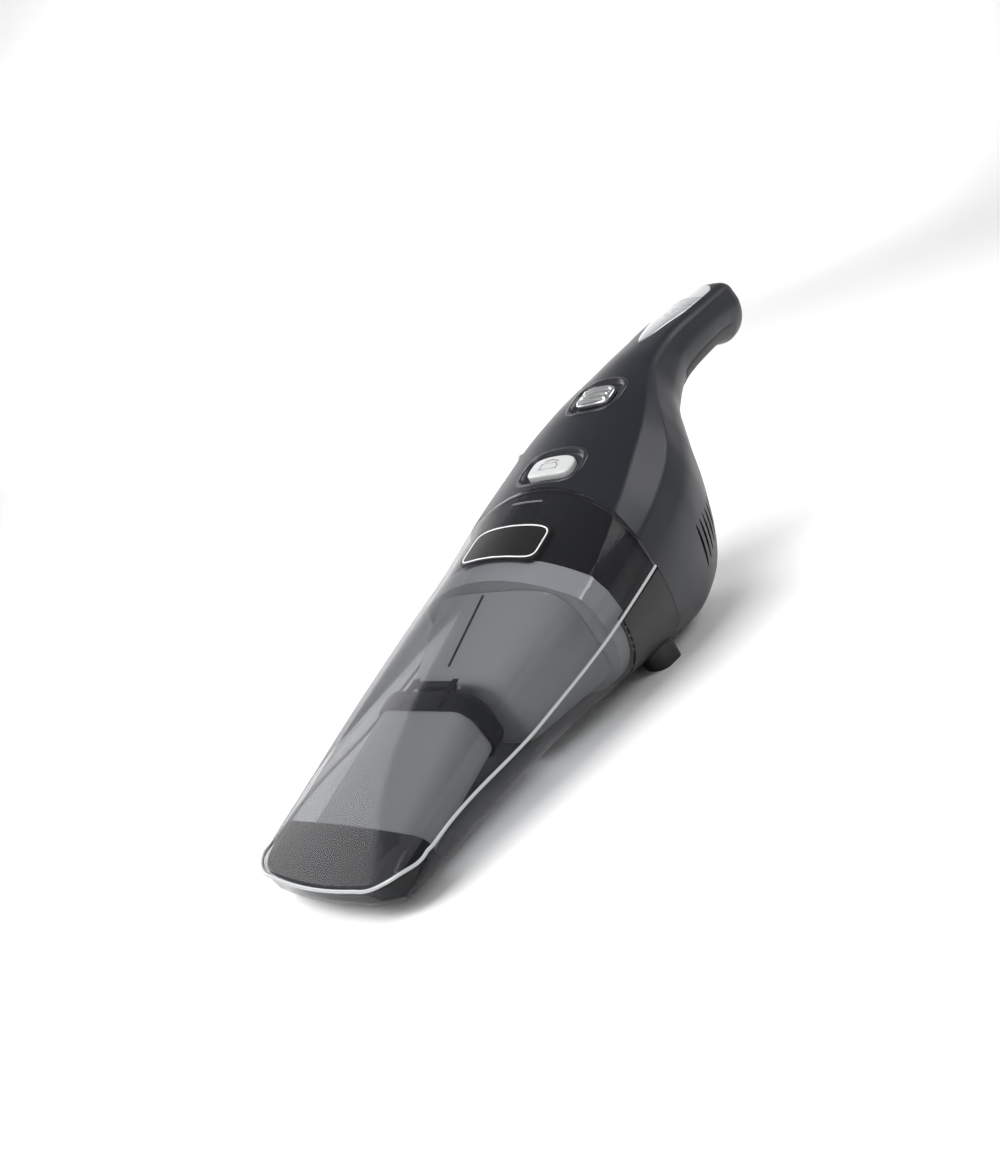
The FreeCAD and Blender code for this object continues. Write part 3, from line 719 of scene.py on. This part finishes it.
def grip_skin(lift):
    """Rubber skin under the handle, proud of the shell and turned in along its border."""
    first = RIM + 4
    half = list(range(first, LAST))
    indices = half + [LAST] + [-k for k in reversed(half)]
    rows = []
    for j in range(41):
        inset = -lift if j not in (0, 40) else GRIP_BORDER
        y = GRIP_START_Y + GRIP_LENGTH * j / 40
        rows.append([point_at(y, k, inset if abs(k) > first else GRIP_BORDER) for k in indices])
    return grid_object("grip_skin", rows)


def make_handle_trim(settings):
    """Bright strip, charge window and rubber grip."""
    dress(strip("handle_strip", 318.2, 372.7, 50), "inlay_grey", "handset", "handle_inlay")
    dress(strip("charge_window", 373.3, 391.3, 30), "lens_grey", "handset", "charge_lens")
    dress(grip_skin(settings.grip_lift / MM), "soft_rubber", "handset", "grip_pad")


# ---------------------------------------------------------------- shader groups
def new_group(name, inputs, outputs):
    """Shader group with named sockets, and its two end nodes."""
    group = bpy.data.node_groups.new(name, "ShaderNodeTree")
    for label, kind, value in inputs:
        socket = group.interface.new_socket(name=label, in_out="INPUT", socket_type=kind)
        socket.default_value = value
    for label, kind in outputs:
        group.interface.new_socket(name=label, in_out="OUTPUT", socket_type=kind)
    return group, group.nodes.new("NodeGroupInput"), group.nodes.new("NodeGroupOutput")


def fine_grain_group():
    """Moulded grain: a fine noise as bump and a slow one as roughness drift."""
    group, enter, leave = new_group(
        "moulded_grain",
        (
            ("Grain scale", "NodeSocketFloat", 2600.0),
            ("Grain depth", "NodeSocketFloat", 0.06),
            ("Roughness", "NodeSocketFloat", 0.35),
            ("Drift", "NodeSocketFloat", 0.06),
        ),
        (("Roughness", "NodeSocketFloat"), ("Normal", "NodeSocketVector")),
    )
    nodes, links = group.nodes, group.links
    coords = nodes.new("ShaderNodeTexCoord")
    fine = nodes.new("ShaderNodeTexNoise")
    fine.inputs["Detail"].default_value = 2.0
    slow = nodes.new("ShaderNodeTexNoise")
    slow.inputs["Scale"].default_value = 38.0
    slow.inputs["Detail"].default_value = 4.0
    bump = nodes.new("ShaderNodeBump")
    bump.inputs["Distance"].default_value = 0.0002
    centred = nodes.new("ShaderNodeMath")
    centred.operation = "SUBTRACT"
    centred.inputs[1].default_value = 0.5
    drift = nodes.new("ShaderNodeMath")
    drift.operation = "MULTIPLY_ADD"
    links.new(coords.outputs["Object"], fine.inputs["Vector"])
    links.new(coords.outputs["Object"], slow.inputs["Vector"])
    links.new(enter.outputs["Grain scale"], fine.inputs["Scale"])
    links.new(enter.outputs["Grain depth"], bump.inputs["Strength"])
    links.new(fine.outputs["Fac"], bump.inputs["Height"])
    links.new(slow.outputs["Fac"], centred.inputs[0])
    links.new(centred.outputs[0], drift.inputs[0])
    links.new(enter.outputs["Drift"], drift.inputs[1])
    links.new(enter.outputs["Roughness"], drift.inputs[2])
    links.new(drift.outputs[0], leave.inputs["Roughness"])
    links.new(bump.outputs["Normal"], leave.inputs["Normal"])
    return group


def edge_wear_group():
    """Colour that lightens unevenly along sharp edges."""
    group, enter, leave = new_group(
        "edge_wear",
        (
            ("Colour", "NodeSocketColor", (0.1, 0.1, 0.1, 1.0)),
            ("Worn", "NodeSocketColor", (0.3, 0.3, 0.3, 1.0)),
            ("Amount", "NodeSocketFloat", 0.4),
        ),
        (("Colour", "NodeSocketColor"),),
    )
    nodes, links = group.nodes, group.links
    geometry = nodes.new("ShaderNodeNewGeometry")
    soft = nodes.new("ShaderNodeBevel")
    soft.samples = 4
    soft.inputs["Radius"].default_value = 0.0007
    turn = nodes.new("ShaderNodeVectorMath")
    turn.operation = "DOT_PRODUCT"
    ramp = nodes.new("ShaderNodeMapRange")
    ramp.inputs["From Min"].default_value = 0.985
    ramp.inputs["From Max"].default_value = 0.86
    coords = nodes.new("ShaderNodeTexCoord")
    noise = nodes.new("ShaderNodeTexNoise")
    noise.inputs["Scale"].default_value = 240.0
    noise.inputs["Detail"].default_value = 5.0
    product = nodes.new("ShaderNodeMath")
    product.operation = "MULTIPLY"
    scaled = nodes.new("ShaderNodeMath")
    scaled.operation = "MULTIPLY"
    scaled.use_clamp = True
    mix = nodes.new("ShaderNodeMix")
    mix.data_type = "RGBA"
    links.new(geometry.outputs["Normal"], turn.inputs[0])
    links.new(soft.outputs["Normal"], turn.inputs[1])
    links.new(turn.outputs["Value"], ramp.inputs["Value"])
    links.new(coords.outputs["Object"], noise.inputs["Vector"])
    links.new(ramp.outputs["Result"], product.inputs[0])
    links.new(noise.outputs["Fac"], product.inputs[1])
    links.new(product.outputs[0], scaled.inputs[0])
    links.new(enter.outputs["Amount"], scaled.inputs[1])
    links.new(scaled.outputs[0], mix.inputs["Factor"])
    links.new(enter.outputs["Colour"], mix.inputs["A"])
    links.new(enter.outputs["Worn"], mix.inputs["B"])
    links.new(mix.outputs["Result"], leave.inputs["Colour"])
    return group


GROUPS = {}


def shared_group(name):
    """The one shader group of a name, made when it is first asked for."""
    if name not in GROUPS:
        GROUPS[name] = {"moulded_grain": fine_grain_group, "edge_wear": edge_wear_group}[name]()
    return GROUPS[name]


def plastic(name, colour, worn, roughness, depth=0.06, scale=2600.0, coat=0.0, metallic=0.0, shine=0.5):
    """Moulded or finished surface with grain, roughness drift and worn edges."""
    material = bpy.data.materials.new(name)
    material.use_nodes = True
    nodes, links = material.node_tree.nodes, material.node_tree.links
    shader = nodes["Principled BSDF"]
    grain = nodes.new("ShaderNodeGroup")
    grain.node_tree = shared_group("moulded_grain")
    grain.inputs["Grain scale"].default_value = scale
    grain.inputs["Grain depth"].default_value = depth
    grain.inputs["Roughness"].default_value = roughness
    edge = nodes.new("ShaderNodeGroup")
    edge.node_tree = shared_group("edge_wear")
    edge.inputs["Colour"].default_value = (*colour, 1.0)
    edge.inputs["Worn"].default_value = (*worn, 1.0)
    links.new(edge.outputs["Colour"], shader.inputs["Base Color"])
    links.new(grain.outputs["Roughness"], shader.inputs["Roughness"])
    links.new(grain.outputs["Normal"], shader.inputs["Normal"])
    shader.inputs["Metallic"].default_value = metallic
    shader.inputs["Specular IOR Level"].default_value = shine
    shader.inputs["Coat Weight"].default_value = coat
    shader.inputs["Coat Roughness"].default_value = 0.12
    return material


def smoked_clear(name, tint, roughness):
    """Thin smoked plastic: see-through, more mirror-like and greyer at a glancing angle."""
    material = bpy.data.materials.new(name)
    material.use_nodes = True
    nodes, links = material.node_tree.nodes, material.node_tree.links
    gloss = nodes["Principled BSDF"]
    gloss.inputs["Base Color"].default_value = (0.03, 0.031, 0.034, 1.0)
    gloss.inputs["IOR"].default_value = 1.5
    grain = nodes.new("ShaderNodeGroup")
    grain.node_tree = shared_group("moulded_grain")
    grain.inputs["Grain scale"].default_value = 45.0
    grain.inputs["Grain depth"].default_value = 0.05
    grain.inputs["Roughness"].default_value = roughness
    links.new(grain.outputs["Roughness"], gloss.inputs["Roughness"])
    links.new(grain.outputs["Normal"], gloss.inputs["Normal"])
    through = nodes.new("ShaderNodeBsdfTransparent")
    through.inputs["Color"].default_value = (*tint, 1.0)
    facing = nodes.new("ShaderNodeLayerWeight")
    facing.inputs["Blend"].default_value = 0.35
    cover = nodes.new("ShaderNodeMapRange")
    cover.inputs["To Min"].default_value = 0.05
    cover.inputs["To Max"].default_value = 0.7
    mix = nodes.new("ShaderNodeMixShader")
    links.new(facing.outputs["Facing"], cover.inputs["Value"])
    links.new(cover.outputs["Result"], mix.inputs["Fac"])
    links.new(through.outputs["BSDF"], mix.inputs[1])
    links.new(gloss.outputs["BSDF"], mix.inputs[2])
    links.new(mix.outputs["Shader"], nodes["Material Output"].inputs["Surface"])
    return material


FINISHES = {
    "shell_navy": dict(colour=(0.0095, 0.0108, 0.0155), worn=(0.05, 0.054, 0.065), roughness=0.37, shine=0.3),
    "black_plastic": dict(colour=(0.006, 0.006, 0.007), worn=(0.03, 0.03, 0.033), roughness=0.4, shine=0.3),
    "grey_plastic": dict(colour=(0.66, 0.67, 0.68), worn=(0.75, 0.76, 0.77), roughness=0.42),
    "duct_grey": dict(colour=(0.42, 0.425, 0.43), worn=(0.55, 0.56, 0.57), roughness=0.5),
    "filter_grey": dict(
        colour=(0.47, 0.475, 0.48), worn=(0.5, 0.5, 0.5), roughness=0.9, depth=0.35, scale=1500.0
    ),
    "soft_rubber": dict(colour=(0.010, 0.010, 0.012), worn=(0.05, 0.05, 0.05), roughness=0.62, depth=0.15),
    "button_white": dict(colour=(0.47, 0.475, 0.48), worn=(0.6, 0.6, 0.6), roughness=0.3, coat=0.2),
    "slider_silver": dict(colour=(0.60, 0.61, 0.62), worn=(0.8, 0.8, 0.8), roughness=0.2, metallic=0.95),
    "inlay_grey": dict(colour=(0.52, 0.53, 0.54), worn=(0.68, 0.68, 0.69), roughness=0.28, metallic=0.6),
    "lens_grey": dict(colour=(0.50, 0.51, 0.52), worn=(0.7, 0.7, 0.7), roughness=0.12, coat=0.8),
    # Finish of the rim bead: light grey that paints the highlight along the clear rim's edge.
    "rim_clear": dict(colour=(0.36, 0.37, 0.38), worn=(0.7, 0.7, 0.7), roughness=0.12, coat=0.6),
    "bezel_grey": dict(colour=(0.020, 0.021, 0.024), worn=(0.12, 0.125, 0.13), roughness=0.25, shine=0.4),
    "catch_grey": dict(colour=(0.10, 0.10, 0.105), worn=(0.2, 0.2, 0.2), roughness=0.4),
    "mark_grey": dict(colour=(0.06, 0.06, 0.065), worn=(0.1, 0.1, 0.1), roughness=0.5),
    "line_white": dict(colour=(0.75, 0.75, 0.75), worn=(0.8, 0.8, 0.8), roughness=0.4),
    "steel": dict(colour=(0.48, 0.48, 0.49), worn=(0.7, 0.7, 0.7), roughness=0.33, metallic=1.0),
    "cell_wrap": dict(colour=(0.03, 0.10, 0.22), worn=(0.2, 0.3, 0.4), roughness=0.2, coat=0.5),
    "board_green": dict(colour=(0.01, 0.07, 0.03), worn=(0.1, 0.2, 0.1), roughness=0.4),
}
MATERIALS = {}


def material(slot):
    """The one material of a slot, made when it is first asked for."""
    if slot not in MATERIALS:
        colours = bpy.context.scene.vacuum_finishes
        if slot == "clear_smoke":
            MATERIALS[slot] = smoked_clear("clear_smoke", tuple(colours.clear_smoke), 0.08)
        else:
            finish = dict(FINISHES[slot])
            finish["colour"] = tuple(getattr(colours, slot, finish["colour"]))
            MATERIALS[slot] = plastic(slot, **finish)
    return MATERIALS[slot]


def finish_cad_nodes():
    """Every CAD node gets the material of its slot."""
    for part in frame["record"]["subparts"]:
        node = frame["nodes"][part["node"]]
        node.data.materials.clear()
        node.data.materials.append(material(part["material_slot"]))


# ---------------------------------------------------------------- stage
def make_floor(tone):
    """Flat disc whose border curves up into a backdrop."""
    mesh = bpy.data.meshes.new("floor")
    grid = bmesh.new()
    bmesh.ops.create_circle(grid, cap_ends=False, segments=96, radius=FLOOR_FLAT)
    ring = list(grid.edges)
    bmesh.ops.contextual_create(grid, geom=ring)
    for step in range(1, FLOOR_STEPS + 1):
        angle = math.pi / 2 * step / FLOOR_STEPS
        grown = bmesh.ops.extrude_edge_only(grid, edges=ring)["geom"]
        ring = [e for e in grown if isinstance(e, bmesh.types.BMEdge)]
        reach = FLOOR_FLAT + FLOOR_CURVE * math.sin(angle)
        for vert in {v for e in ring for v in e.verts}:
            flat = Vector((vert.co.x, vert.co.y)).normalized() * reach
            vert.co = (flat.x, flat.y, FLOOR_CURVE * (1 - math.cos(angle)))
    for face in grid.faces:
        face.smooth = True
    grid.to_mesh(mesh)
    grid.free()
    floor = bpy.data.objects.new("floor", mesh)
    bpy.context.scene.collection.objects.link(floor)
    pale = bpy.data.materials.new("pale_floor")
    pale.use_nodes = True
    shader = pale.node_tree.nodes["Principled BSDF"]
    shader.inputs["Base Color"].default_value = (*tone, 1.0)
    shader.inputs["Roughness"].default_value = 0.8
    mesh.materials.append(pale)


def make_lights(settings):
    """White surroundings and four soft boxes."""
    world = bpy.data.worlds.new("studio")
    world.use_nodes = True
    sky = world.node_tree.nodes["Background"]
    sky.inputs["Color"].default_value = (1.0, 1.0, 1.0, 1.0)
    sky.inputs["Strength"].default_value = settings.surround
    bpy.context.scene.world = world
    for name, spot, aim, size, spread in SOFTBOXES:
        lamp = bpy.data.lights.new(name, "AREA")
        lamp.shape = "SQUARE"
        lamp.size = size
        lamp.energy = getattr(settings, name)
        lamp.spread = math.radians(spread)
        obj = bpy.data.objects.new(name, lamp)
        obj.location = spot
        obj.rotation_euler = (Vector(aim) - Vector(spot)).to_track_quat("-Z", "Y").to_euler()
        bpy.context.scene.collection.objects.link(obj)


def make_camera():
    """Three-quarter view from the front right, rolled a little."""
    lens = bpy.data.cameras.new("camera")
    lens.lens = CAMERA_LENS
    lens.sensor_width = 36.0
    lens.shift_x, lens.shift_y = CAMERA_SHIFT
    lens.clip_start = 0.01
    camera = bpy.data.objects.new("camera", lens)
    aim = (Vector(CAMERA_AIM) - Vector(CAMERA_PLACE)).to_track_quat("-Z", "Y").to_matrix().to_4x4()
    camera.matrix_world = Matrix.Translation(CAMERA_PLACE) @ aim @ Matrix.Rotation(CAMERA_ROLL, 4, "Z")
    bpy.context.scene.collection.objects.link(camera)
    bpy.context.scene.camera = camera


def make_stage(settings):
    """Floor, light and camera."""
    make_floor(tuple(settings.floor_tone))
    make_lights(settings)
    make_camera()
    bpy.context.scene.view_settings.view_transform = "Standard"
    bpy.context.scene.view_settings.exposure = settings.exposure


# ---------------------------------------------------------------- settings
def length(name, description, default):
    """Length property in metres."""
    return FloatProperty(name=name, description=description, default=default, min=0.0, unit="LENGTH")


def colour(name, description, default):
    """Colour property, linear."""
    return FloatVectorProperty(
        name=name, description=description, default=default, size=3, min=0.0, max=1.0, subtype="COLOR"
    )


def power(name, description, default):
    """Light output in watts."""
    return FloatProperty(name=name, description=description, default=default, min=0.0, unit="POWER")


class VacuumBowlSettings(bpy.types.PropertyGroup):
    """Sizes of the clear bowl and the lines on it."""

    wall: length("Wall", "Thickness of the clear wall", 0.002)
    # Thickness of the bead that carries the painted highlight along the clear rim.
    rim_bead: length("Rim bead", "Thickness of the bead along the rim", 0.0014)
    outline: length("Plaque outline", "Thickness of the line round the plaque", 0.0007)
    catch_mark: length("Catch mark", "Thickness of the mark over the catch", 0.0011)


class VacuumInsideSettings(bpy.types.PropertyGroup):
    """Sizes of the parts seen through the bowl."""

    ridge: length("Seam", "Thickness of the seam along the filter", 0.0011)
    edge: length("Edge", "Rounding of the duct's edges", 0.0004)


class VacuumHousingSettings(bpy.types.PropertyGroup):
    """Sizes of the two shells."""

    wall: length("Wall", "Thickness of the shells", 0.0025)


class VacuumControlSettings(bpy.types.PropertyGroup):
    """Sizes of the marks on the controls."""

    mark: length("Mark", "Thickness of the lines on the release button", 0.0005)


class VacuumTrimSettings(bpy.types.PropertyGroup):
    """Sizes of the handle's trim."""

    grip_lift: length("Grip lift", "How far the rubber stands out of the shell", 0.00035)


class VacuumFinishSettings(bpy.types.PropertyGroup):
    """Colours of the main finishes."""

    clear_smoke: colour("Smoke", "Tint of the light that passes the bowl", (0.83, 0.835, 0.845))
    shell_navy: colour("Shell", "Colour of the two shells", FINISHES["shell_navy"]["colour"])
    black_plastic: colour("Black", "Colour of the black plastic", FINISHES["black_plastic"]["colour"])
    duct_grey: colour("Duct", "Colour of the intake duct", FINISHES["duct_grey"]["colour"])
    filter_grey: colour("Filter", "Colour of the filter's cloth", FINISHES["filter_grey"]["colour"])
    button_white: colour("Button", "Colour of the release button", FINISHES["button_white"]["colour"])
    slider_silver: colour("Slider", "Colour of the power slider", FINISHES["slider_silver"]["colour"])
    inlay_grey: colour("Inlay", "Colour of the strip on the handle", FINISHES["inlay_grey"]["colour"])


class VacuumStageSettings(bpy.types.PropertyGroup):
    """Light and floor."""

    floor_tone: colour("Floor", "Colour of the floor", (0.9, 0.9, 0.9))
    surround: FloatProperty(
        name="Surround", description="Strength of the white surroundings", default=0.5, min=0.0
    )
    exposure: FloatProperty(name="Exposure", description="Exposure of the picture, in stops", default=-1.0)
    front_softbox: power("Front light", "Output of the light in front", 105.0)
    shoulder_softbox: power("Shoulder light", "Output of the light behind the right side", 15.0)
    left_softbox: power("Left light", "Output of the light on the left", 20.0)
    backdrop_softbox: power("Backdrop light", "Output of the light on the backdrop", 70.0)


# ---------------------------------------------------------------- operators
class VACUUM_OT_cad_finishes(bpy.types.Operator):
    """Give every CAD node the finish of its slot"""

    bl_idname = "vacuum.cad_finishes"
    bl_label = "Finish CAD nodes"

    def execute(self, context):
        finish_cad_nodes()
        return {"FINISHED"}


class VACUUM_OT_bowl(bpy.types.Operator):
    """Make the clear bowl with its rim bead (a painted highlight along the rim), plaque outline and catch mark"""

    bl_idname = "vacuum.bowl"
    bl_label = "Bowl"

    def execute(self, context):
        make_bowl(context.scene.vacuum_bowl)
        return {"FINISHED"}


class VACUUM_OT_inside(bpy.types.Operator):
    """Make the filter sleeve and the duct's parts"""

    bl_idname = "vacuum.inside"
    bl_label = "Filter and duct"

    def execute(self, context):
        make_inside(context.scene.vacuum_inside)
        return {"FINISHED"}


class VACUUM_OT_housing(bpy.types.Operator):
    """Make the two shells of the body and handle"""

    bl_idname = "vacuum.housing"
    bl_label = "Shells"

    def execute(self, context):
        make_housing(context.scene.vacuum_housing)
        return {"FINISHED"}


class VACUUM_OT_controls(bpy.types.Operator):
    """Make the release button, the power slider and their bezels"""

    bl_idname = "vacuum.controls"
    bl_label = "Controls"

    def execute(self, context):
        make_controls(context.scene.vacuum_controls)
        return {"FINISHED"}


class VACUUM_OT_handle_trim(bpy.types.Operator):
    """Make the bright strip, the charge window and the grip"""

    bl_idname = "vacuum.handle_trim"
    bl_label = "Handle trim"

    def execute(self, context):
        make_handle_trim(context.scene.vacuum_trim)
        return {"FINISHED"}


class VACUUM_OT_stage(bpy.types.Operator):
    """Make the floor, the light and the camera"""

    bl_idname = "vacuum.stage"
    bl_label = "Stage"

    def execute(self, context):
        make_stage(context.scene.vacuum_stage)
        return {"FINISHED"}


SETTINGS = {
    "vacuum_finishes": VacuumFinishSettings,
    "vacuum_bowl": VacuumBowlSettings,
    "vacuum_inside": VacuumInsideSettings,
    "vacuum_housing": VacuumHousingSettings,
    "vacuum_controls": VacuumControlSettings,
    "vacuum_trim": VacuumTrimSettings,
    "vacuum_stage": VacuumStageSettings,
}
OPERATORS = (
    VACUUM_OT_cad_finishes,
    VACUUM_OT_bowl,
    VACUUM_OT_inside,
    VACUUM_OT_housing,
    VACUUM_OT_controls,
    VACUUM_OT_handle_trim,
    VACUUM_OT_stage,
)


class VACUUM_PT_panel(bpy.types.Panel):
    """Sidebar panel with every settings group and its operator"""

    bl_idname = "VACUUM_PT_panel"
    bl_label = "Handheld vacuum"
    bl_space_type = "VIEW_3D"
    bl_region_type = "UI"
    bl_category = "Vacuum"

    def draw(self, context):
        for (holder, group), operator in zip(SETTINGS.items(), OPERATORS):
            box = self.layout.box()
            for name in group.__annotations__:
                box.prop(getattr(context.scene, holder), name)
            box.operator(operator.bl_idname)


def register():
    """Register the settings, operators and panel."""
    for group in SETTINGS.values():
        bpy.utils.register_class(group)
    for holder, group in SETTINGS.items():
        setattr(bpy.types.Scene, holder, PointerProperty(type=group))
    for operator in OPERATORS:
        bpy.utils.register_class(operator)
    bpy.utils.register_class(VACUUM_PT_panel)


def unregister():
    """Undo register."""
    bpy.utils.unregister_class(VACUUM_PT_panel)
    for operator in reversed(OPERATORS):
        bpy.utils.unregister_class(operator)
    for holder in SETTINGS:
        delattr(bpy.types.Scene, holder)
    for group in SETTINGS.values():
        bpy.utils.unregister_class(group)


def main():
    """Make every piece and the stage."""
    register()
    bpy.ops.vacuum.cad_finishes()
    bpy.ops.vacuum.bowl()
    bpy.ops.vacuum.inside()
    bpy.ops.vacuum.housing()
    bpy.ops.vacuum.controls()
    bpy.ops.vacuum.handle_trim()
    bpy.ops.vacuum.stage()


if __name__ == "__main__":
    main()
